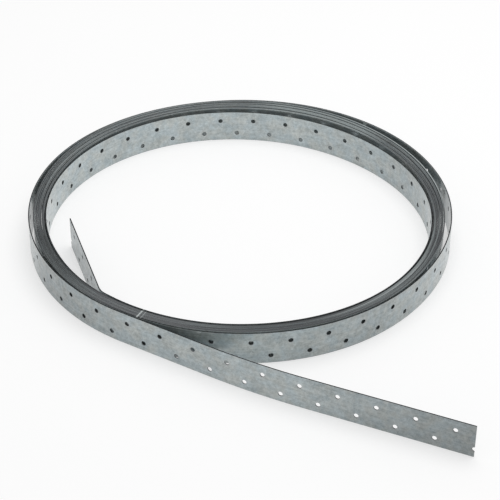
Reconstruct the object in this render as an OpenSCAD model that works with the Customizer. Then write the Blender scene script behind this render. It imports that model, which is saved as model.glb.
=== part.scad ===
/* [Strap] */
// Width of the strap, which stands on its edge in the coil
strap_w = 25; // [20:1:36]
// Thickness of the strap
strap_t = 0.8; // [0.6:0.05:1]

/* [Nail holes] */
// Diameter of a nail hole
hole_d = 3.2; // [2.8:0.1:5]
// Distance from hole to hole along one row, the other row lying half of it further on
hole_pitch = 26; // [24:0.5:30]
// Distance from an edge of the strap to the row of holes next to it, for evenly set rows
row_edge = 7; // [5:0.5:8.5]
// Distance by which both rows lie lower than evenly set ones
row_shift = 0.8; // [0:0.1:1.5]

/* [Coil] */
// Outside diameter of the turns that lie close together
coil_d = 298; // [270:1:330]
// Number of turns that lie close together
turns = 8; // [4:1:12]
// Gap between turns that lie close together
turn_gap = 0.3; // [0.25:0.05:0.5]
// Depth to which the gaps between turns are open from each end of the coil
gap_depth = 3; // [1:0.5:6]

/* [Outer turn] */
// Direction, seen from the coil axis, at which the outer end leaves the coil
outer_leave_deg = 262.5; // [258:0.5:265]
// Spring of the outer turn away from the coil at the right
right_lift = 3.7; // [0:0.1:8]
// Spring of the outer turn away from the coil at the left
left_lift = 3.8; // [0:0.1:8]

/* [Free outer end] */
// Length of the outer end along the strap, in half pitches of the holes
outer_cells = 19; // [14:1:28]
// Straight length of the outer end before it unbends, in half pitches of the holes
lead_cells = 5; // [2:1:6]
// Radius of the bow in which the outer end unbends
bow_r = 560; // [400:20:640]

/* [Inner turn] */
// Direction, seen from the coil axis, at which the inner end leaves the coil
inner_leave_deg = 255.5; // [250:0.5:258]
// Spring of the inner turn into the eye of the coil at the back
eye_drop = 9.7; // [0:0.1:14]

/* [Free inner end] */
// Length of the inner end along the strap, in half pitches of the holes
inner_cells = 7; // [4:1:9]
// Angle by which the inner end is bent into the eye of the coil
inner_bend_deg = 34; // [26:1:45]

/* [Hidden] */
$fn = 96;
turn_pitch = strap_t + turn_gap;
coil_r = coil_d / 2;
bore_r = coil_r - turns * turn_pitch + turn_gap;
rest_r_out = coil_r + turn_gap + strap_t / 2;
rest_r_in = bore_r - turn_gap - strap_t / 2;
rows = [row_edge - row_shift, strap_w - row_edge - row_shift];
// The strap is laid out in flat steps, and every second step carries a hole at its middle
step = hole_pitch / 4;
sweep_deg = 354;
root_span_deg = 15;
root_sink = turn_gap + 1.5 * strap_t;
right_deg = 40;
right_spread_deg = [150, 95];
left_deg = 187;
left_spread_deg = [70, 75];
drop_deg = 84;
drop_spread_deg = [85, 115];
bend_parts = 6;
outer_root_deg = outer_leave_deg - sweep_deg;
inner_root_deg = inner_leave_deg + sweep_deg;

// Turn from one direction to another, between -180 and 180 degrees
function turn_to(a, from) = (a - from) - 360 * round((a - from) / 360);

// Smooth swelling of height 1 at a direction, falling to 0 over its spread on each side
function swell_at(d, spread) = abs(d) < spread ? (1 + cos(180 * d / spread)) / 2 : 0;
function swell(a, at, spread) = swell_at(turn_to(a, at), turn_to(a, at) < 0 ? spread[0] : spread[1]);

// Part of the way, 0 to 1, that a turn has sunk into the coil where it begins
function sunk(left) = left < root_span_deg ? (1 + cos(180 * max(left, 0) / root_span_deg)) / 2 : 0;

// Middle radius of the outer turn in direction a, measured back from where it leaves
function outer_lift(a) = right_lift * swell(a, right_deg, right_spread_deg)
    + left_lift * swell(a, left_deg, left_spread_deg);
function outer_r(a) = let(root = sunk(a - outer_root_deg))
    rest_r_out + outer_lift(a) * (1 - root) - root_sink * root;

// Middle radius of the inner turn in direction a, measured on from where it leaves
function inner_r(a) = let(root = sunk(inner_root_deg - a))
    rest_r_in - eye_drop * swell(a, drop_deg, drop_spread_deg) * (1 - root) + root_sink * root;

function ray(r, a) = [r * cos(a), r * sin(a)];
function step_angle(r) = 2 * asin(step / (2 * r));

// Sum of the first n moves in a list
function total(moves, n) = n == 0 ? [0, 0] : total(moves, n - 1) + moves[n - 1];

// Directions of the ends of the steps, from where each turn leaves to its root
outer_angles = [for (a = outer_leave_deg; a > outer_root_deg; a = a - step_angle(outer_r(a))) a];
inner_angles = [for (a = inner_leave_deg; a < inner_root_deg; a = a + step_angle(inner_r(a))) a];
outer_steps = len(outer_angles) - 1;
inner_steps = len(inner_angles) - 1;

// Outer end: headings of its steps, straight at first, then unbending until it runs along X
outer_turn_deg = 270 - outer_leave_deg;
bow_step_deg = 2 * asin(step / (2 * bow_r));
function bowed(k) = bow_step_deg * max(0, k + 0.5 - 2 * lead_cells);
function outer_heading(k) = -sign(outer_turn_deg) * max(0, abs(outer_turn_deg) - bowed(k));
outer_heads = [for (k = [0 : 2 * outer_cells - 1]) outer_heading(k)];
outer_start = ray(outer_r(outer_leave_deg), outer_leave_deg);
outer_moves = [for (h = outer_heads) ray(step, h)];
outer_end = [for (k = [0 : 2 * outer_cells]) outer_start + total(outer_moves, k)];
outer_tip = outer_end[2 * outer_cells] + [step / 2, 0];
outer_path = concat([for (k = [outer_steps : -1 : 1]) ray(outer_r(outer_angles[k]), outer_angles[k])],
    outer_end, [outer_tip]);

// Inner end: bent before and after its first hole, then straight to its tip
inner_start = ray(inner_r(inner_leave_deg), inner_leave_deg);
inner_head = inner_leave_deg - 90;
inner_mid = inner_head - inner_bend_deg / 2;
inner_dir = inner_head - inner_bend_deg;
function bend_from(h) = [for (k = [0 : bend_parts - 1])
    ray(step / bend_parts, h - inner_bend_deg / 2 * (k + 0.5) / bend_parts)];
inner_moves = concat(bend_from(inner_head), [ray(step, inner_mid)], bend_from(inner_mid));
inner_bent = [for (k = [0 : len(inner_moves)]) inner_start + total(inner_moves, k)];
inner_straight = inner_bent[len(inner_moves)];
inner_tip = inner_straight + ray((2 * inner_cells - 1.5) * step, inner_dir);
inner_path = concat([for (k = [inner_steps : -1 : 1]) ray(inner_r(inner_angles[k]), inner_angles[k])],
    inner_bent, [inner_tip]);

// Direction of the path at its point k, and the path set over to one side
function head(path, k) = let(v = path[min(k + 1, len(path) - 1)] - path[max(k - 1, 0)]) atan2(v[1], v[0]);
function side(path, by) = [for (k = [0 : len(path) - 1]) path[k] + ray(by, head(path, k) + 90)];
function back(list) = [for (k = [len(list) - 1 : -1 : 0]) list[k]];
function middle(p, q) = (p + q) / 2;

// Middle of the footprint, which is the origin of the part
outline = concat(side(outer_path, strap_t / 2), side(outer_path, -strap_t / 2));
xs = [for (p = outline) p[0]];
ys = [for (p = outline) p[1]];
centre = [(min(xs) + max(xs)) / 2, (min(ys) + max(ys)) / 2];

// A strip of the strap that follows a path, standing on its edge
module strip(path) {
    linear_extrude(strap_w)
        polygon(concat(side(path, strap_t / 2), back(side(path, -strap_t / 2))));
}

// A nail hole through the strap at a point, square to the direction of the strap
module nail_hole(p, dir, row) {
    translate([p[0], p[1], rows[row]])
        rotate([90, 0, dir])
            cylinder(h = 3 * strap_t, d = hole_d, center = true);
}

// Turns that lie close together, with the gaps between them open at both ends of the coil
module close_turns() {
    rotate_extrude()
        difference() {
            translate([bore_r, 0])
                square([coil_r - bore_r, strap_w]);
            for (k = [1 : turns - 1]) {
                translate([bore_r + k * turn_pitch - turn_gap, 0])
                    square([turn_gap, gap_depth]);
                translate([bore_r + k * turn_pitch - turn_gap, strap_w - gap_depth])
                    square([turn_gap, gap_depth]);
            }
        }
}

// Outermost turn with the free outer end, cut off through a hole of the lower row
module outer_run() {
    difference() {
        strip(outer_path);
        for (k = [1 : 2 : outer_steps - 1])
            if (outer_angles[k + 1] > outer_root_deg + root_span_deg)
                nail_hole(middle(ray(outer_r(outer_angles[k]), outer_angles[k]),
                    ray(outer_r(outer_angles[k + 1]), outer_angles[k + 1])),
                    (outer_angles[k] + outer_angles[k + 1]) / 2 + 90, ((k + 1) / 2 + outer_cells) % 2);
        for (k = [0 : outer_cells - 1])
            nail_hole(outer_end[2 * k] + ray(step / 2, outer_heads[2 * k]), outer_heads[2 * k],
                (outer_cells - k) % 2);
        nail_hole(outer_tip, 0, 0);
    }
}

// Innermost turn with the free inner end, also cut off through a hole of the lower row
module inner_run() {
    difference() {
        strip(inner_path);
        for (k = [0 : 2 : inner_steps - 1])
            if (inner_angles[k + 1] < inner_root_deg - root_span_deg)
                nail_hole(middle(ray(inner_r(inner_angles[k]), inner_angles[k]),
                    ray(inner_r(inner_angles[k + 1]), inner_angles[k + 1])),
                    (inner_angles[k] + inner_angles[k + 1]) / 2 + 90, (k / 2 + inner_cells + 1) % 2);
        nail_hole(middle(inner_bent[bend_parts], inner_bent[bend_parts + 1]), inner_mid, inner_cells % 2);
        for (k = [0 : inner_cells - 1])
            nail_hole(inner_tip - ray(2 * k * step, inner_dir), inner_dir, k % 2);
    }
}

module strap() {
    color([0.62, 0.65, 0.66])
        translate([-centre[0], -centre[1], 0])
            union() {
                close_turns();
                outer_run();
                inner_run();
            }
}

strap();
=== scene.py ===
import math
from collections import namedtuple

import bpy
import numpy as np
from bpy.props import FloatProperty, FloatVectorProperty, IntProperty, PointerProperty
from mathutils import Matrix, Vector


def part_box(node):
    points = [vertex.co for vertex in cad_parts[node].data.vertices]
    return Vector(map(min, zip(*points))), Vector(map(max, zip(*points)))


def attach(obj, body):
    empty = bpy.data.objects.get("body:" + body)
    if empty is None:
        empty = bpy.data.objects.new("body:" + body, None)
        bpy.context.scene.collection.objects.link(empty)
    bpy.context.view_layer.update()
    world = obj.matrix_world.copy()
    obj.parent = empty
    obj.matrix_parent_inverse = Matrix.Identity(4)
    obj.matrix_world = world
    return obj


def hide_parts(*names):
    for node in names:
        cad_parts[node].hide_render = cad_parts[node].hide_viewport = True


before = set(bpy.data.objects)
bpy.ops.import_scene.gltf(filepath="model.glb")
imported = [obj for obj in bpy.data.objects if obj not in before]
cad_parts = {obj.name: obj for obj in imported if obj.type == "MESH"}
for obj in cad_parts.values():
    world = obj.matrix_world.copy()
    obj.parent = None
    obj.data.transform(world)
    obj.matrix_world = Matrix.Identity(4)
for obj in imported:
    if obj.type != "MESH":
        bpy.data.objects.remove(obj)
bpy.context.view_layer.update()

bl_info = {
    "name": "Perforated Strap Coil",
    "version": (1, 0, 0),
    "blender": (4, 5, 0),
    "location": "View3D > Sidebar > Strap Coil",
    "description": "Winds a coil of galvanised nailing strap in place of its solid model",
    "category": "Object",
}

STRAP_LOW, STRAP_HIGH = (np.array(corner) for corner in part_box("strap"))
MM = 0.001


class StrapSizes(bpy.types.PropertyGroup):
    """Section and punching of the strap."""

    width: FloatProperty(
        name="Width", description="Width of the strap, which stands on its edge",
        default=float(STRAP_HIGH[2] - STRAP_LOW[2]), unit="LENGTH")
    thickness: FloatProperty(
        name="Thickness", description="Thickness of the sheet",
        default=0.8 * MM, unit="LENGTH", precision=5)
    edge_round: FloatProperty(
        name="Slit edge", description="How far the outer corners of the slit edges are rounded",
        default=0.1 * MM, unit="LENGTH", precision=5)
    edge_roll: FloatProperty(
        name="Roll-over",
        description="How far the zinc is drawn over the inner corners of the slit edges",
        default=0.1 * MM, unit="LENGTH", precision=5)
    hole: FloatProperty(
        name="Nail hole", description="Diameter of a nail hole",
        default=3.2 * MM, unit="LENGTH", precision=5)
    hole_round: FloatProperty(
        name="Hole edge", description="How far the rim of a punched hole is rolled over",
        default=0.15 * MM, unit="LENGTH", precision=5)
    pitch: FloatProperty(
        name="Hole pitch", description="Distance from hole to hole along one row",
        default=26 * MM, unit="LENGTH", precision=5)
    row_edge: FloatProperty(
        name="Row to edge",
        description="Distance from an edge to the row of holes next to it, for even rows",
        default=7 * MM, unit="LENGTH", precision=5)
    row_shift: FloatProperty(
        name="Row shift", description="Distance by which both rows lie lower than even ones",
        default=0.8 * MM, unit="LENGTH", precision=5)


class CoilWinding(bpy.types.PropertyGroup):
    """Way in which the strap is wound and where its loose turns spring away."""

    axis: FloatVectorProperty(
        name="Axis", description="Place of the coil's axis on the floor", size=2,
        default=(-38.0727 * MM, 5.1653 * MM), subtype="XYZ", unit="LENGTH")
    turns: IntProperty(
        name="Turns", description="Number of turns, the two loose ones among them", default=10)
    eye_radius: FloatProperty(
        name="Eye radius", description="Radius at which the inner end leaves the coil",
        default=139.8 * MM, unit="LENGTH")
    layer: FloatProperty(
        name="Layer",
        description="Growth of the radius over the inner turn, before it drops into the eye",
        default=0.99 * MM, unit="LENGTH", precision=5)
    outer_rest: FloatProperty(
        name="Outer radius", description="Radius of the outermost turn where it touches the coil",
        default=149.7 * MM, unit="LENGTH")
    inner_leave: FloatProperty(
        name="Inner end at", description="Direction in which the inner end leaves",
        default=math.radians(255.5), subtype="ANGLE")
    outer_leave: FloatProperty(
        name="Outer end at", description="Direction in which the outer end leaves",
        default=math.radians(262.5), subtype="ANGLE")
    right_lift: FloatProperty(
        name="Right lift", description="Spring of the outer turn away from the coil at the right",
        default=3.7 * MM, unit="LENGTH", precision=5)
    left_lift: FloatProperty(
        name="Left lift", description="Spring of the outer turn away from the coil at the left",
        default=3.8 * MM, unit="LENGTH", precision=5)
    eye_drop: FloatProperty(
        name="Eye drop", description="Spring of the inner turn into the eye at the back",
        default=10.5 * MM, unit="LENGTH", precision=5)
    slip: FloatVectorProperty(
        name="Hole slip", size=4,
        description="Extra length that the holes spread over at the front of the inner turn, and "
        "at the front, the back and the left front of the outer turn",
        default=(2.05 * MM, 3.9 * MM, 8.4 * MM, -1.6 * MM), unit="LENGTH", precision=5)


class ZincFinish(bpy.types.PropertyGroup):
    """Colours of the zinc coat, of the bare slit edges and of the walls of the holes."""

    pale: FloatVectorProperty(
        name="Pale zinc", description="Colour of the pale patches", size=3, subtype="COLOR",
        default=(0.73, 0.785, 0.78))
    dull: FloatVectorProperty(
        name="Dull zinc", description="Colour of the dull patches", size=3, subtype="COLOR",
        default=(0.33, 0.37, 0.37))
    cool: FloatVectorProperty(
        name="Cool tint", description="Tint of the bluish patches", size=3, subtype="COLOR",
        default=(0.955, 1.0, 1.04), max=2.0)
    warm: FloatVectorProperty(
        name="Warm tint", description="Tint of the warm patches", size=3, subtype="COLOR",
        default=(1.015, 1.0, 0.985), max=2.0)
    cut: FloatVectorProperty(
        name="Slit edge", description="Colour of the bare metal at slit edges", size=3,
        subtype="COLOR", default=(0.08, 0.083, 0.088))
    # painted sheen: a lighter even grey blended into the rim's edges at the front
    sheened: FloatVectorProperty(
        name="Sheened edge", description="Colour of slit edges that are scuffed to an even grey",
        size=3, subtype="COLOR", default=(0.155, 0.158, 0.165))
    # painted shade: black blended into the rim's edges at the front left
    left_rim_shade: FloatVectorProperty(
        name="Shade", description="Colour that darkens the shadowed edges", size=3,
        subtype="COLOR", default=(0.0, 0.0, 0.0))
    loose: FloatVectorProperty(
        name="Loose edge", description="Colour of the slit edges of the loose turns", size=3,
        subtype="COLOR", default=(0.022, 0.023, 0.025))
    wall: FloatVectorProperty(
        name="Hole wall", description="Colour of the walls of punched holes", size=3,
        subtype="COLOR", default=(0.19, 0.195, 0.2))


class StageLook(bpy.types.PropertyGroup):
    """Floor, light and camera."""

    floor: FloatVectorProperty(
        name="Floor", description="Colour of the floor", size=3, subtype="COLOR",
        default=(0.5, 0.5, 0.5))
    glow: FloatProperty(
        name="Glow", description="Light that lifts the floor to white for the camera", default=0.54)
    lamp: FloatProperty(
        name="Lamp", description="Power of the soft lamp overhead", default=7.5, unit="POWER")
    sky: FloatProperty(
        name="Sky", description="Strength of the even light from all sides", default=0.55)
    target: FloatVectorProperty(
        name="Target", description="Point at the middle of the picture", size=3, subtype="XYZ",
        unit="LENGTH", default=(-23.09 * MM, -11.05 * MM, 0.0))
    distance: FloatProperty(
        name="Distance", description="From camera to target", default=1.219, unit="LENGTH")
    azimuth: FloatProperty(
        name="Azimuth", description="Turn of the camera around the coil",
        default=math.radians(23.5), subtype="ANGLE")
    elevation: FloatProperty(
        name="Elevation", description="Height of the camera as an angle",
        default=math.radians(35.55), subtype="ANGLE")
    roll: FloatProperty(
        name="Roll", description="Lean of the camera", default=math.radians(0.21), subtype="ANGLE")
    lens: FloatProperty(
        name="Lens", description="Focal length in mm on a 36 mm sensor", default=121.0)


# Directions around the coil are in degrees: 0 right, 90 back, 180 left and 270 front.
# Radii in mm, at such directions, of the innermost and the outermost of the eight close turns
CLOSE_TURNS = np.array([
    (0, 142.4, 149.1), (10, 141.7, 148.4), (20, 141.0, 147.9), (30, 139.7, 147.8),
    (45, 138.2, 147.4), (60, 137.5, 147.1), (75, 137.1, 147.5), (90, 137.0, 148.3),
    (105, 137.3, 148.7), (120, 138.2, 148.6), (140, 139.6, 149.5), (160, 140.7, 150.4),
    (175, 141.2, 150.5), (190, 141.4, 150.0), (205, 141.7, 149.1), (220, 142.1, 148.8),
    (235, 142.1, 148.6), (250, 142.0, 148.3), (265, 142.1, 148.3), (280, 142.2, 148.4),
    (292, 142.3, 148.5), (305, 142.7, 148.9), (320, 143.2, 149.5), (335, 143.4, 149.6),
    (347, 143.2, 149.4)])
# Least growth from turn to turn, in thicknesses of the sheet
TIGHT = 1.015
# Slack between close turns: the share that is spread evenly, the place of each gap in turns with
# its share, and the part of a turn over which a gap moves on to the next turn
EVEN_SLACK = 0.2
GAPS = ((1.9, 0.27), (4.4, 0.24), (6.35, 0.29))
GAP_SHIFT = 0.4
# Swells of the loose turns: direction, and the angles over which each falls away before and after
RIGHT_LIFT_AT = (40.0, 105.0, 95.0)
LEFT_LIFT_AT = (187.0, 70.0, 85.0)
EYE_DROP_AT = (84.0, 85.0, 125.0)
# Smaller swells of the inner and the outer turn, each with its height
INNER_SWELLS = ((0.5 * MM, (335.0, 75.0, 45.0)), (1.1 * MM, (338.0, 44.0, 36.0)))
OUTER_SWELLS = ((1.0 * MM, (318.0, 36.0, 36.0)),)
# Parts of a turn over which the loose turns merge into the close ones, and the turn, counted from
# the last close one, at which the outer one begins to do so
INNER_MERGE = 0.08
OUTER_MERGE = 0.07
OUTER_MERGE_FROM = 1.025
# Inner end: its length in half pitches, its bend in degrees, and where that bend begins and how
# long it is
INNER_END_CELLS = 7.75
INNER_BEND = 34.0
BEND_FROM = 6.1 * MM
BEND_LENGTH = 7.5 * MM
# Outer end: its length and that of its straight lead in half pitches, and the radius of its bow
OUTER_END_CELLS = 19.25
LEAD_CELLS = 5.0
BOW_RADIUS = 560.0 * MM
# Directions at which the front of the inner turn, and the front and the back of the outer turn, end
INNER_RIGHT = 360.0
OUTER_RIGHT = 350.0
OUTER_LEFT = 547.0
POINTS_PER_TURN = 1600
# Unevenness in height: its half size, its two waves in radians to the metre, and the lengths from
# the inner and the outer tip over which it comes in
UNEVEN = 0.12 * MM
UNEVEN_WAVES = (6.1, 1.7)
INNER_FLAT, OUTER_FLAT = 0.5, 0.9
# Steps to the metre, or to the half pitch, to which points that fall together agree
WELD_STEPS = 1e7
# Values of the faces' attribute "cut", which is 0 on zinc
ROLLED_CORNER, BARE_METAL, HOLE_WALL = 0.6, 1.0, 2.0

# Lengths in m along the strap at which its parts begin and end
Marks = namedtuple("Marks", [
    "inner_tip", "inner_start", "inner_right", "inner_end",
    "outer_start", "outer_right", "outer_left", "outer_end", "outer_tip"])


def swelling(direction, at, before, after):
    """Raised cosine around a direction, all in degrees: 1 at that direction, falling to 0 over the
    angles before and after it, and 0 beyond them."""
    away = (direction - at + 180.0) % 360.0 - 180.0
    spread = np.where(away < 0.0, before, after)
    return np.where(np.abs(away) < spread, 0.5 + 0.5 * np.cos(np.pi * away / spread), 0.0)


def ease(x):
    """Cubic step from 0 to 1: three squares less two cubes of x held between 0 and 1."""
    x = np.clip(x, 0.0, 1.0)
    return x * x * (3.0 - 2.0 * x)


def around(direction, stations, values):
    """Closed curve around the coil: the sum of waves of up to seven to a turn that best fits, by
    least squares, the values given at the stations. All directions in degrees."""
    order = np.arange(8)

    def waves(angle):
        turned = np.radians(angle)[:, None] * order
        return np.hstack([np.cos(turned), np.sin(turned[:, 1:])])

    share = np.linalg.lstsq(waves(stations), values, rcond=None)[0]
    return waves(direction) @ share


def turn_radius(wind, size, winding):
    """Middle radius at each winding angle in degrees. In the close turns, it grows evenly with the
    number of turns from an inner to an outer closed curve, but most of the slack between turns is
    drawn into three gaps, which move on by a turn over part of a turn. The first turn is a slow
    spiral that drops into the eye at the back, and the last one a circle that springs out at the
    right and the left. Both merge into the close turns over a short stretch."""
    count = (winding - math.degrees(wind.inner_leave)) / 360.0
    direction = winding % 360.0
    stations, innermost, outermost = CLOSE_TURNS.T
    low, high = (MM * around(direction, stations, radii) for radii in (innermost, outermost))
    layers = wind.turns - 2
    growth = (high - low) / (layers - 1)
    slack = np.maximum(growth - TIGHT * size.thickness, 0.0)
    layer = count - 1.5
    packed = EVEN_SLACK * layer + (layers - 1) * sum(
        share * ease((layer - at) / GAP_SHIFT + 0.5) for at, share in GAPS)
    close = low + (growth - slack) * layer + slack * packed
    inner = wind.eye_radius + wind.layer * count - wind.eye_drop * swelling(direction, *EYE_DROP_AT)
    for height, at in INNER_SWELLS:
        inner = inner + height * swelling(direction, *at)
    outer = wind.outer_rest + wind.right_lift * swelling(direction, *RIGHT_LIFT_AT)
    outer = outer + wind.left_lift * swelling(direction, *LEFT_LIFT_AT)
    for height, at in OUTER_SWELLS:
        outer = outer + height * swelling(direction, *at)
    inner_share = ease((1.0 - count) / INNER_MERGE)
    outer_share = ease((count - (layers + OUTER_MERGE_FROM)) / OUTER_MERGE)
    return close + (inner - close) * inner_share + (outer - close) * outer_share


def walk(start, length, heading):
    """Line from a start point whose heading in degrees is a function of the length walked: the sums
    of the cosines and sines of the headings at the middles of even steps."""
    steps = 400
    step = length / steps
    turned = np.radians(heading((np.arange(steps) + 0.5) * step))
    moves = np.stack([np.cos(turned), np.sin(turned)], 1) * step
    return np.vstack([start, start + np.cumsum(moves, axis=0)])


def strap_line(wind, size):
    """Middle line of the strap on the floor from its inner to its outer tip, the length walked from
    the inner tip, and the marks. The wound part is a spiral of the turn radius. The inner end bends
    once and runs straight. The outer end runs straight, unbends in a wide bow and follows X."""
    first, last = math.degrees(wind.inner_leave), math.degrees(wind.outer_leave)
    half = size.pitch / 2.0
    winding = np.linspace(first, last + 360.0 * wind.turns, POINTS_PER_TURN * wind.turns)
    radius = turn_radius(wind, size, winding)
    spin = np.radians(winding)
    wound = np.array(wind.axis) + radius[:, None] * np.stack([np.cos(spin), np.sin(spin)], 1)

    def inner_heading(run):
        return first - 90.0 - INNER_BEND * np.clip((run - BEND_FROM) / BEND_LENGTH, 0.0, 1.0)

    def outer_heading(run):
        unbent = np.degrees(np.maximum(run - LEAD_CELLS * half, 0.0) / BOW_RADIUS)
        return np.minimum(last - 270.0 + unbent, 0.0)

    inner = walk(wound[0], INNER_END_CELLS * half, inner_heading)
    outer = walk(wound[-1], OUTER_END_CELLS * half, outer_heading)
    line = np.vstack([inner[:0:-1], wound, outer[1:]])
    run = np.concatenate([[0.0], np.cumsum(np.hypot(*np.diff(line, axis=0).T))])
    start = len(inner) - 1
    last_turn = 360.0 * (wind.turns - 1)
    turning = [first, INNER_RIGHT, first + 360.0, first + last_turn, OUTER_RIGHT + last_turn,
               OUTER_LEFT + last_turn, last + 360.0 + last_turn]
    lengths = np.interp(turning, winding, run[start:start + len(winding)])
    return line, run, Marks(0.0, *lengths.tolist(), float(run[-1]))


def hole_scale(marks, size, wind):
    """Counts of half pitches at the marks. Both ends count whole half pitches from a hole cut
    through at the tip. A stretch with a slip holds as many half pitches as its length less the
    slip. The close turns share out what is left over."""
    front, *rest = wind.slip
    slip = np.array([0.0, front, 0.0, 0.0, *rest, 0.0])
    cells = (np.diff(marks) - slip) / (size.pitch / 2.0)
    counts = np.concatenate([[0.0], np.cumsum(cells)])
    counts[Marks._fields.index("outer_start"):] += 2.0 * round(counts[-1] / 2.0) - counts[-1]
    return counts


def punched_cells(size, holes):
    """Half-pitch lengths of strap with a hole in each, as rings around the hole: rim, shoulder and
    the outline of the cell, on both faces of the sheet. A ring point is given by its place along
    the strap in half pitches, its height and its distance from the middle of the sheet. Holes of
    even number lie in the lower row."""
    half, across = size.pitch / 2.0, size.width
    sides = 6
    cut = np.array([[size.edge_round], [size.edge_roll]])
    share = np.concatenate([[0.0, 0.0], np.linspace(0.0, 1.0, sides + 1), [1.0, 1.0]])
    up = cut + (across - 2.0 * cut) * share
    right = np.concatenate([[0.0, 0.25], np.full(sides + 1, 0.5), [0.25, 0.0]])
    along = np.concatenate([right, -right[-2:0:-1]])
    outline = np.stack([np.stack([along, along]), np.hstack([up, up[:, -2:0:-1]])], -1)
    points = len(along)
    angle = np.radians(-90.0 + 360.0 / points * np.arange(points))
    lower, upper = size.row_edge, across - size.row_edge
    row = np.where(np.arange(holes) % 2 == 0, lower, upper) - size.row_shift
    radius = np.array([size.hole / 2.0, size.hole / 2.0 + size.hole_round])
    ring = np.stack([np.cos(angle) / half, np.sin(angle)], 1)
    cells = np.empty((holes, 2, 3, points, 3))
    cells[:, :, :2, :, :2] = (radius[:, None, None] * ring)[None, None]
    cells[:, :, :2, :, 1] += row[:, None, None, None]
    cells[:, :, 2, :, :2] = outline
    cells[..., 0] += np.arange(holes)[:, None, None, None]
    face = np.array([size.thickness / 2.0, -size.thickness / 2.0])
    cells[..., 2] = face[None, :, None, None]
    cells[:, :, 0, :, 2] -= np.sign(face)[None, :, None] * size.hole_round
    return cells


def cell_faces(holes, points):
    """Quads of the cells: a band of flat sheet on each face, the wall of the hole with its two
    rolled rims, and the cut through the holes at both tips. The first and last cells keep only the
    half that lies on the strap."""
    index = np.arange(holes * 2 * 3 * points).reshape(holes, 2, 3, points)
    ahead = np.roll(index, -1, axis=3)
    bands = np.stack([index[:, :, 1:], ahead[:, :, 1:], ahead[:, :, :-1], index[:, :, :-1]], -1)
    bands[:, 1] = bands[:, 1, ..., ::-1]
    wall = np.stack([index[:, 0, 0], ahead[:, 0, 0], ahead[:, 1, 0], index[:, 1, 0]], -1)
    walls = np.stack([wall, bands[:, 0, 0], bands[:, 1, 0]], 1)
    keep = np.ones((holes, points), bool)
    keep[0, points // 2:] = False
    keep[-1, :points // 2] = False
    sheet = bands[:, :, 1][np.broadcast_to(keep[:, None], bands.shape[:2] + bands.shape[3:4])]
    ends = []
    for hole, turned in ((0, False), (holes - 1, True)):
        for point in (0, points // 2):
            rows = index[hole, :, :, point]
            quad = np.stack([rows[0, :-1], rows[0, 1:], rows[1, 1:], rows[1, :-1]], -1)
            ends.append(quad[:, ::-1] if turned == (point == 0) else quad)
    return sheet, walls[np.broadcast_to(keep[:, None], walls.shape[:-1])], np.vstack(ends)


def slit_edges(size, holes):
    """Upper and lower slit edges: a three-sided profile, with a rounded outer corner, the bare cut
    and an inner corner with zinc drawn over it, carried along the strap in quarter cells. Points as
    in the cells, faces, and the value of "cut" of each face."""
    half, cut, roll, across = size.thickness / 2.0, size.edge_round, size.edge_roll, size.width
    place = np.arange(4 * (holes - 1) + 1) / 4.0
    upper = np.array([(across - cut, half), (across, half - cut),
                      (across, roll - half), (across - roll, -half)])
    lower = np.stack([across - upper[::-1, 0], upper[::-1, 1]], 1)
    points = np.empty((2, len(place), 4, 3))
    points[..., 0] = place[None, :, None]
    points[..., 1:] = np.stack([upper, lower])[:, None]
    index = np.arange(points[..., 0].size).reshape(points.shape[:3])
    faces = np.stack(
        [index[:, :-1, :-1], index[:, 1:, :-1], index[:, 1:, 1:], index[:, :-1, 1:]], -1)
    caps = np.vstack([index[:, 0, :], index[:, -1, ::-1]])
    bare = np.full(faces.shape[:3], BARE_METAL)
    bare[0, :, 2] = bare[1, :, 0] = ROLLED_CORNER
    return (points.reshape(-1, 3), np.vstack([faces.reshape(-1, 4), caps]),
            np.append(bare, np.full(len(caps), BARE_METAL)))


def flat_strap(size, holes):
    """The whole strap laid flat: points as in the cells, quads, and the value of "cut" of each
    quad. Points that fall together are made one, and points that no quad uses are left out."""
    cells = punched_cells(size, holes)
    sheet, walls, ends = cell_faces(holes, cells.shape[3])
    edges, edge_faces, edge_cut = slit_edges(size, holes)
    points = np.vstack([cells.reshape(-1, 3), edges])
    faces = np.vstack([sheet, ends, edge_faces + cells[..., 0].size, walls])
    cut = np.concatenate([np.zeros(len(sheet)), np.full(len(ends), BARE_METAL), edge_cut,
                          np.full(len(walls), HOLE_WALL)])
    rounded = np.round(points * WELD_STEPS).astype(np.int64)
    _, first, same = np.unique(rounded, axis=0, return_index=True, return_inverse=True)
    used, faces = np.unique(same.ravel()[faces], return_inverse=True)
    return points[first][used], faces.reshape(-1, 4), cut


def laid_along(points, line, run, counts, marks):
    """Points of the flat strap bent along its line: the place on the line at that length, set over
    square to the line by the distance from the middle of the sheet, at its height. The turns stand
    a little unevenly, by the product of two slow waves along the strap. Also the length, height and
    distance of each point, as its place on the flat strap."""
    length = np.interp(points[:, 0], counts, marks)
    slope = np.gradient(line, run, axis=0)
    slope /= np.hypot(slope[:, 0], slope[:, 1])[:, None]
    x, y = (np.interp(length, run, line[:, axis]) for axis in (0, 1))
    along = np.stack([np.interp(length, run, slope[:, axis]) for axis in (0, 1)], 1)
    along /= np.hypot(along[:, 0], along[:, 1])[:, None]
    quick, slow = UNEVEN_WAVES
    uneven = UNEVEN * (1.0 + np.sin(length * quick) * np.sin(length * slow + 1.0))
    loose = ease((run[-1] - length) / OUTER_FLAT) * ease(length / INNER_FLAT)
    place = np.stack([x + along[:, 1] * points[:, 2], y - along[:, 0] * points[:, 2],
                      points[:, 1] + uneven * loose], 1)
    return place, np.stack([length, points[:, 1], points[:, 2]], 1)


def sheltered_faces(lay, faces, marks):
    """1 on faces that lie against another turn, and 0 on the inside of the inner turn, the outside
    of the outer turn and both free ends."""
    length, _, side = lay[faces].mean(axis=1).T
    seen = (side < 0.0) & (length < marks.inner_end) | (side > 0.0) & (length > marks.outer_start)
    seen |= (length < marks.inner_start) | (length > marks.outer_end)
    return 1.0 - seen


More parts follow.
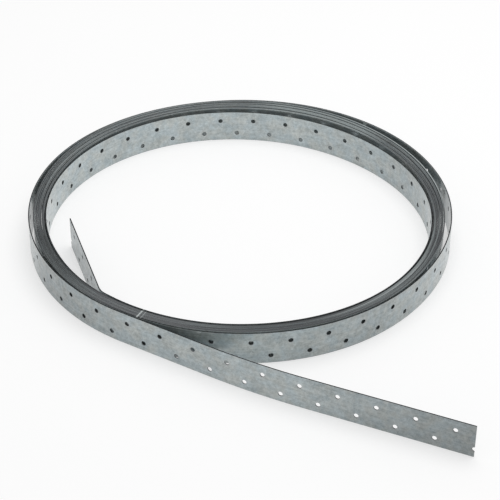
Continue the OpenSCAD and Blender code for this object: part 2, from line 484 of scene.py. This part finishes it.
def make_mesh(name, points, faces, lay, values):
    """Mesh of quads from whole arrays, with the place on the flat strap and the values of each face
    as attributes, and with hard corners wherever two faces meet at more than 30 degrees."""
    mesh = bpy.data.meshes.new(name)
    mesh.vertices.add(len(points))
    mesh.vertices.foreach_set("co", points.astype(np.float32).ravel())
    mesh.loops.add(faces.size)
    mesh.loops.foreach_set("vertex_index", faces.astype(np.int32).ravel())
    mesh.polygons.add(len(faces))
    mesh.polygons.foreach_set("loop_start", np.arange(0, faces.size, 4, dtype=np.int32))
    mesh.update(calc_edges=True)
    if mesh.validate():
        raise RuntimeError(f"{name} has faulty faces")
    place = mesh.attributes.new("lay", "FLOAT_VECTOR", "POINT")
    place.data.foreach_set("vector", lay.astype(np.float32).ravel())
    for kind, each in values.items():
        mark = mesh.attributes.new(kind, "FLOAT", "FACE")
        mark.data.foreach_set("value", each.astype(np.float32))
    mesh.polygons.foreach_set("use_smooth", np.ones(len(faces), bool))
    mesh.set_sharp_from_angle(angle=math.radians(30.0))
    return mesh


class NodeBench:
    """Small helper that adds shader nodes and links them."""

    def __init__(self, tree):
        self.tree = tree
        tree.nodes.clear()

    def add(self, kind, inputs=None, **settings):
        """New node with its settings, and with each input linked or set."""
        node = self.tree.nodes.new(kind)
        for name, value in settings.items():
            setattr(node, name, value)
        for socket, source in (inputs or {}).items():
            target = node.inputs[socket]
            if isinstance(source, bpy.types.NodeSocket):
                self.tree.links.new(source, target)
            else:
                target.default_value = source
        return node

    def read(self, name, output="Fac"):
        """One of the mesh's own attributes."""
        return self.add("ShaderNodeAttribute", attribute_name=name).outputs[output]

    def noise(self, vector, scale, detail, roughness=0.5):
        """Soft noise, mostly between 0.3 and 0.7."""
        return self.add("ShaderNodeTexNoise", {
            "Vector": vector, "Scale": scale, "Detail": detail, "Roughness": roughness,
        }).outputs["Fac"]

    def drawn_out(self, vector, scale):
        """The vector scaled by its own factor along each axis."""
        return self.add("ShaderNodeMapping", {"Vector": vector, "Scale": scale}).outputs[0]

    def reckon(self, operation, *values):
        """Result of a Math node with one or two values."""
        return self.add("ShaderNodeMath", dict(enumerate(values)), operation=operation).outputs[0]

    def times(self, one, other):
        return self.reckon("MULTIPLY", one, other)

    def plus(self, one, other):
        return self.reckon("ADD", one, other)

    def greater(self, one, other):
        return self.reckon("MAXIMUM", one, other)

    def between(self, operation, one, other, output=0):
        """Result of a Vector Math node with two vectors."""
        node = self.add("ShaderNodeVectorMath", {0: one, 1: other}, operation=operation)
        return node.outputs[output]

    def spread(self, value, low, high, to_low, to_high):
        """The value carried evenly from one range to another, and held there."""
        return self.add("ShaderNodeMapRange", {
            "Value": value, "From Min": low, "From Max": high, "To Min": to_low, "To Max": to_high,
        }, clamp=True).outputs["Result"]

    def blend(self, share, low, high, mode="MIX"):
        """Colour blended from one to another, or multiplied by the other."""
        return self.add("ShaderNodeMix", {0: share, 6: low, 7: high},
                        data_type="RGBA", blend_type=mode).outputs[2]

    def shaded(self, colour, level):
        """Colour multiplied by a level."""
        grey = self.add("ShaderNodeCombineColor", {0: level, 1: level, 2: level}).outputs[0]
        return self.blend(1.0, colour, grey, "MULTIPLY")

    def stretch(self, length, marks, mark, begin, full, fade, end, height):
        """Height over a stretch of the strap, measured from a mark: 0 where it begins, full up to
        where it fades, and 0 where it ends."""
        start = getattr(marks, mark)
        rise = self.spread(length, start + begin, start + full, 0.0, height)
        return self.times(rise, self.spread(length, start + fade, start + end, 1.0, 0.0))

    def near(self, place, point, inside, outside):
        """1 within one distance of a point, falling to 0 at another."""
        away = self.between("DISTANCE", place, point, "Value")
        return self.spread(away, inside, outside, 1.0, 0.0)

    def stroke(self, place, start, end, breadth):
        """1 on a straight stroke of the floor plan, falling to 0 at its half breadth and 0.8 mm
        past its ends. All sizes in mm."""
        start, end = Vector((*start, 0.0)) * MM, Vector((*end, 0.0)) * MM
        along = (end - start).normalized()
        reach = (end - start).length / 2.0
        off = self.between("SUBTRACT", place, start)
        aside = self.between("DOT_PRODUCT", off, (-along.y, along.x, 0.0), "Value")
        aside = self.reckon("ABSOLUTE", aside)
        run = self.between("DOT_PRODUCT", off, along, "Value")
        run = self.reckon("ABSOLUTE", self.reckon("SUBTRACT", run, reach))
        ends = self.spread(run, reach, reach + 0.8 * MM, 1.0, 0.0)
        return self.times(self.spread(aside, 0.4 * breadth * MM, breadth * MM, 1.0, 0.0), ends)


# Stretches of the strap that differ from the rest: the mark that they are measured from, the
# lengths in m at which each begins, is full, fades and ends, and its height
DULL_STRETCHES = (
    ("outer_tip", -0.39, -0.33, -0.33, -0.23, -0.33),
    ("outer_tip", -1.13, -1.06, -1.02, -0.96, -0.1),
)
# painted shade in the nip where the outer end leaves the coil, which also counts as sheltered
NIP_AT_OUTER_END = ("outer_start", 0.0, 0.02, 0.055, 0.1, 1.0)
# painted shade on the sheltered face behind the front of the inner turn
BEHIND_INNER_TURN = ("inner_tip", 0.2, 0.25, 0.35, 0.39, -0.45)
# stretches of single slit edges made pale
PALE_EDGE_STRETCHES = (
    ("inner_end", 1.07, 1.1, 1.12, 1.15, 0.2),
    ("inner_end", 1.915, 1.96, 2.01, 2.04, 0.37),
    ("outer_start", -0.61, -0.57, -0.5, -0.45, 0.5),
)
# Painted light and shade on the rim around places of the floor plan: painted shade at the front
# left, a painted highlight at the back and a painted sheen that evens the edges to a lighter grey
# at the
# front. For each: place, the distances in mm to which each is full and at which it ends, its share
# and the name of its colour
PAINTED_RIM_LIGHT = (
    ((-133.0, -104.0), 20.0, 55.0, 0.42, "left_rim_shade"),
    ((-28.0, 154.0), 40.0, 64.0, 0.8, "dull"),
    ((-50.0, -140.0), 30.0, 50.0, 0.6, "sheened"),
)
# Pale strokes across the edges: two ends in mm on the floor plan, half breadth and share
PALE_STROKES = (
    ((-46.5, -134.6), (-47.3, -143.2), 0.8, 0.75),
    ((-43.9, -135.5), (-44.4, -143.4), 0.5, 0.35),
)


def opaque(colour):
    """Colour of three values with its alpha."""
    return (*colour, 1.0)


def zinc_coat(bench, lay, finish):
    """Colour of the zinc, with its tone and its streaks. The tone is a sum of soft cloudy patches,
    finer speckle and grain, and leads from dull to pale. Small crystals are duller, streaks along
    the strap paler, and slow patches are tinted cool or warm."""
    pale, dull = opaque(finish.pale), opaque(finish.dull)
    patches = bench.spread(bench.noise(lay, 70.0, 2.0), 0.35, 0.65, 0.1, 0.9)
    flecks = bench.spread(bench.noise(lay, 330.0, 3.0, 0.65), 0.36, 0.64, 0.0, 1.0)
    grain = bench.spread(bench.noise(lay, 1500.0, 2.0), 0.35, 0.65, 0.0, 0.3)
    tone = bench.plus(bench.times(patches, 0.28), bench.times(flecks, 0.42))
    tone = bench.plus(tone, grain)
    zinc = bench.blend(tone, dull, pale)
    crystal = bench.add("ShaderNodeTexVoronoi", {"Vector": lay, "Scale": 420.0, "Randomness": 1.0})
    crystal = bench.add("ShaderNodeSeparateColor", {"Color": crystal.outputs["Color"]}).outputs[0]
    zinc = bench.blend(bench.spread(crystal, 0.0, 1.0, 0.0, 0.2), zinc, dull)
    streak = bench.noise(bench.drawn_out(lay, (60.0, 1100.0, 1100.0)), 1.0, 3.0)
    zinc = bench.blend(bench.spread(streak, 0.45, 0.75, 0.0, 0.4), zinc, pale)
    warmth = bench.spread(bench.noise(lay, 110.0, 2.0), 0.38, 0.62, 0.0, 1.0)
    tint = bench.blend(warmth, opaque(finish.cool), opaque(finish.warm))
    return bench.blend(1.0, zinc, tint, "MULTIPLY"), tone, streak


def lightness_with_painted_shade(bench, length, marks, shelter, nip):
    """Lightness of the zinc along the strap, as a sum: less towards the inner tip, painted shade
    towards the outer tip, painted light a little more on the back of the eye, less on two stretches
    of the outer turn, and painted shade, much less, in the nip at the outer end and behind the
    front of the inner turn."""
    tip = marks.outer_tip
    # painted shade: the zinc darker over the last 0.12 m of the outer end
    tip_painted_shade = bench.spread(length, tip - 0.12, tip, 1.06, 0.66)
    # painted light: the inner turn a little lighter at the back of the eye and a little darker
    # before it
    painted_eye_light = bench.times(bench.spread(length, 0.46, 0.58, -0.06, 0.1),
                        bench.spread(length, 0.8, 1.1, 1.0, 0.0))
    level = bench.plus(tip_painted_shade, painted_eye_light)
    for stretch in DULL_STRETCHES:
        level = bench.plus(level, bench.stretch(length, marks, *stretch))
    level = bench.plus(level, bench.spread(length, 0.11, 0.17, -0.2, 0.0))
    # painted shade in the nip at the outer end
    level = bench.plus(level, bench.times(nip, -0.35))
    # painted shade behind the front of the inner turn, on its sheltered face only
    behind = bench.stretch(length, marks, *BEHIND_INNER_TURN)
    return bench.plus(level, bench.times(behind, shelter))


def edge_colour(bench, lay, length, marks, width, finish):
    """Colour of the slit edges. Close turns: bare metal in lengths of differing tone, from a noise
    drawn out along the strap, then painted shade and painted highlights on the rim around three
    places, and stretches of a few edges made pale. Loose turns are dark. Two pale strokes cross all
    of them."""
    pale = opaque(finish.pale)
    place = bench.add("ShaderNodeTexCoord").outputs["Object"]
    wear = bench.noise(bench.drawn_out(lay, (7.0, 120.0, 700.0)), 1.0, 3.0)
    worn = bench.spread(wear, 0.45, 0.66, 0.0, 0.7)
    edge = bench.blend(worn, opaque(finish.cut), opaque(finish.dull))
    # painted shade at the front left, painted highlight at the back and painted sheen at the front,
    # blended into the rim's edges
    for (x, y), inside, outside, share, colour in PAINTED_RIM_LIGHT:
        close_by = bench.near(place, (x * MM, y * MM, width), inside * MM, outside * MM)
        edge = bench.blend(bench.times(close_by, share), edge, opaque(getattr(finish, colour)))
    for stretch in PALE_EDGE_STRETCHES:
        edge = bench.blend(bench.stretch(length, marks, *stretch), edge, pale)
    merge = 0.02
    packed = bench.times(
        bench.spread(length, marks.inner_end - merge, marks.inner_end + merge, 0.0, 1.0),
        bench.spread(length, marks.outer_start - merge, marks.outer_start + merge, 1.0, 0.0))
    edge = bench.blend(packed, opaque(finish.loose), edge)
    for start, end, breadth, share in PALE_STROKES:
        edge = bench.blend(bench.times(bench.stroke(place, start, end, breadth), share), edge, pale)
    return edge


def zinc_material(finish, width, marks):
    """Hot-dip zinc that is pale and satin where it is seen, and more metallic where turns shelter
    each other, with painted shade there that darkens its colour. There, the two innermost turns are
    rougher and the others glossier.
    Bare metal at the slit edges and grey walls in the punched holes. Faint streaks along the strap
    stand out as bump."""
    material = bpy.data.materials.new("zinc_coat")
    material.use_nodes = True
    bench = NodeBench(material.node_tree)
    lay, bare, shelter = bench.read("lay", "Vector"), bench.read("cut"), bench.read("shelter")
    length, height, _ = bench.add("ShaderNodeSeparateXYZ", {"Vector": lay}).outputs
    nip = bench.stretch(length, marks, *NIP_AT_OUTER_END)
    shelter = bench.greater(shelter, nip)
    middle = width / 2.0
    off = bench.reckon("ABSOLUTE", bench.reckon("SUBTRACT", height, middle))
    deep = bench.greater(
        bench.spread(off, middle - 1.0 * MM, middle - 0.4 * MM, 1.0, 0.0),
        bench.spread(length, marks.inner_end - 0.05, marks.inner_end, 1.0, 0.0))
    hidden = bench.times(shelter, deep)
    zinc, tone, streak = zinc_coat(bench, lay, finish)
    level = lightness_with_painted_shade(bench, length, marks, shelter, nip)
    # painted shade: the zinc's colour darkened to 0.7 on sheltered faces away from the edges,
    # between turns
    zinc = bench.shaded(zinc, bench.times(level, bench.spread(hidden, 0.0, 1.0, 1.0, 0.7)))
    edge = edge_colour(bench, lay, length, marks, width, finish)
    colour = bench.blend(bench.spread(bare, 0.0, BARE_METAL, 0.0, 1.0), zinc, edge)
    in_hole = bench.spread(bare, BARE_METAL, HOLE_WALL, 0.0, 1.0)
    colour = bench.blend(in_hole, colour, opaque(finish.wall))
    second_turn = marks.inner_end + 0.9
    polish = bench.spread(length, second_turn, second_turn + 0.1, 0.12, -0.16)
    rough = bench.spread(tone, 0.2, 0.8, 0.26, 0.18)
    rough = bench.plus(rough, bench.times(hidden, polish))
    bump = bench.add("ShaderNodeBump", {"Height": streak, "Strength": 0.06, "Distance": 0.4 * MM})
    shader = bench.add("ShaderNodeBsdfPrincipled", {
        "Base Color": colour,
        "Roughness": rough,
        "Metallic": bench.spread(hidden, 0.0, 1.0, 0.2, 0.6),
        "Specular IOR Level": bench.spread(bare, ROLLED_CORNER, BARE_METAL, 0.5, 0.2),
        "Normal": bump.outputs[0]})
    bench.add("ShaderNodeOutputMaterial", {"Surface": shader.outputs[0]})
    return material


class STRAP_OT_wind(bpy.types.Operator):
    """Winds the punched strap, its loose turns and both free ends, in place of the solid coil"""

    bl_idname = "strap_coil.wind"
    bl_label = "Wind Strap"

    def execute(self, context):
        scene = context.scene
        size, wind = scene.strap_sizes, scene.coil_winding
        line, run, marks = strap_line(wind, size)
        counts = hole_scale(marks, size, wind)
        points, faces, cut = flat_strap(size, int(round(counts[-1])) + 1)
        place, lay = laid_along(points, line, run, counts, marks)
        shelter = sheltered_faces(lay, faces, marks)
        mesh = make_mesh("strap_coil", place, faces, lay, {"cut": cut, "shelter": shelter})
        mesh.materials.append(zinc_material(scene.zinc_finish, size.width, marks))
        piece = bpy.data.objects.new("strap_coil", mesh)
        scene.collection.objects.link(piece)
        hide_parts("strap")
        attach(piece, "root")
        return {"FINISHED"}


# Half side of the floor and its depth below the coil, breadth and place of the lamp, breadth of the
# camera's sensor in mm, and the nearest and furthest distance that the camera sees
FLOOR_REACH, FLOOR_DEPTH = 12.0, 0.1 * MM
LAMP_BREADTH, LAMP_PLACE = 1.2, (0.1, 0.2, 1.3)
SENSOR = 36.0
CAMERA_RANGE = (0.01, 20.0)


def floor_material(colour, glow):
    """Pale matt floor that shows white to the camera and to mirror-like rays, and keeps shadows."""
    material = bpy.data.materials.new("pale_floor")
    material.use_nodes = True
    bench = NodeBench(material.node_tree)
    path = bench.add("ShaderNodeLightPath").outputs
    seen = bench.greater(path["Is Camera Ray"], path["Is Glossy Ray"])
    seen = bench.greater(seen, path["Is Transmission Ray"])
    matt = bench.add("ShaderNodeBsdfDiffuse", {"Color": opaque(colour)})
    light = bench.add("ShaderNodeEmission", {"Strength": bench.times(seen, glow)})
    both = bench.add("ShaderNodeAddShader", {0: matt.outputs[0], 1: light.outputs[0]})
    bench.add("ShaderNodeOutputMaterial", {"Surface": both.outputs[0]})
    return material


class STRAP_OT_stage(bpy.types.Operator):
    """Sets the pale floor, the soft lamp, the even sky and the camera"""

    bl_idname = "strap_coil.stage"
    bl_label = "Set Stage"

    def execute(self, context):
        scene, look = context.scene, context.scene.stage_look
        scene.view_settings.view_transform = "Standard"
        self.lay_floor(scene, look)
        self.light(scene, look)
        self.aim(scene, look)
        return {"FINISHED"}

    def lay_floor(self, scene, look):
        """A square just below the coil."""
        side = np.array([[-1.0, -1.0], [1.0, -1.0], [1.0, 1.0], [-1.0, 1.0]]) * FLOOR_REACH
        corners = np.column_stack([side, np.full(4, -FLOOR_DEPTH)])
        mesh = bpy.data.meshes.new("floor")
        mesh.from_pydata(corners.tolist(), [], [(0, 1, 2, 3)])
        mesh.materials.append(floor_material(look.floor, look.glow))
        floor = bpy.data.objects.new("floor", mesh)
        scene.collection.objects.link(floor)

    def light(self, scene, look):
        """An even sky that shows white to the camera, and one round lamp aimed at the origin."""
        world = bpy.data.worlds.new("even_sky")
        world.use_nodes = True
        scene.world = world
        bench = NodeBench(world.node_tree)
        path = bench.add("ShaderNodeLightPath").outputs
        seen = bench.greater(path["Is Camera Ray"], path["Is Transmission Ray"])
        power = bench.spread(seen, 0.0, 1.0, look.sky, 1.0)
        sky = bench.add("ShaderNodeBackground", {"Color": (1.0, 1.0, 1.0, 1.0), "Strength": power})
        bench.add("ShaderNodeOutputWorld", {"Surface": sky.outputs[0]})
        lamp = bpy.data.lights.new("soft_lamp", "AREA")
        lamp.shape, lamp.size = "DISK", LAMP_BREADTH
        lamp.energy = look.lamp
        holder = bpy.data.objects.new("soft_lamp", lamp)
        holder.location = LAMP_PLACE
        holder.rotation_euler = (-Vector(LAMP_PLACE)).to_track_quat("-Z", "Y").to_euler()
        scene.collection.objects.link(holder)

    def aim(self, scene, look):
        """The camera at its distance from the target, turned by azimuth, elevation and roll."""
        level = math.cos(look.elevation)
        back = Vector((level * math.sin(look.azimuth), -level * math.cos(look.azimuth),
                       math.sin(look.elevation)))
        right = Vector((math.cos(look.azimuth), math.sin(look.azimuth), 0.0))
        up = back.cross(right)
        lean_right = right * math.cos(look.roll) + up * math.sin(look.roll)
        lean_up = up * math.cos(look.roll) - right * math.sin(look.roll)
        turn = Matrix((lean_right, lean_up, back)).transposed().to_4x4()
        camera = bpy.data.cameras.new("camera")
        camera.lens, camera.sensor_width = look.lens, SENSOR
        camera.clip_start, camera.clip_end = CAMERA_RANGE
        holder = bpy.data.objects.new("camera", camera)
        holder.matrix_world = Matrix.Translation(Vector(look.target) + back * look.distance) @ turn
        scene.collection.objects.link(holder)
        scene.camera = holder


class STRAP_PT_panel(bpy.types.Panel):
    """Lists the sizes and colours, and the steps that make the coil and its stage"""

    bl_label = "Strap Coil"
    bl_idname = "STRAP_PT_panel"
    bl_space_type = "VIEW_3D"
    bl_region_type = "UI"
    bl_category = "Strap Coil"

    def draw(self, context):
        layout = self.layout
        for group in GROUPS:
            owner = getattr(context.scene, group)
            for name in owner.__annotations__:
                layout.prop(owner, name)
        layout.operator(STRAP_OT_wind.bl_idname)
        layout.operator(STRAP_OT_stage.bl_idname)


GROUPS = {
    "strap_sizes": StrapSizes,
    "coil_winding": CoilWinding,
    "zinc_finish": ZincFinish,
    "stage_look": StageLook,
}
CLASSES = (*GROUPS.values(), STRAP_OT_wind, STRAP_OT_stage, STRAP_PT_panel)


def register():
    for kind in CLASSES:
        bpy.utils.register_class(kind)
    for name, kind in GROUPS.items():
        setattr(bpy.types.Scene, name, PointerProperty(type=kind))


def unregister():
    for name in GROUPS:
        delattr(bpy.types.Scene, name)
    for kind in reversed(CLASSES):
        bpy.utils.unregister_class(kind)


def main():
    register()
    bpy.ops.strap_coil.wind()
    bpy.ops.strap_coil.stage()


if __name__ == "__main__":
    main()
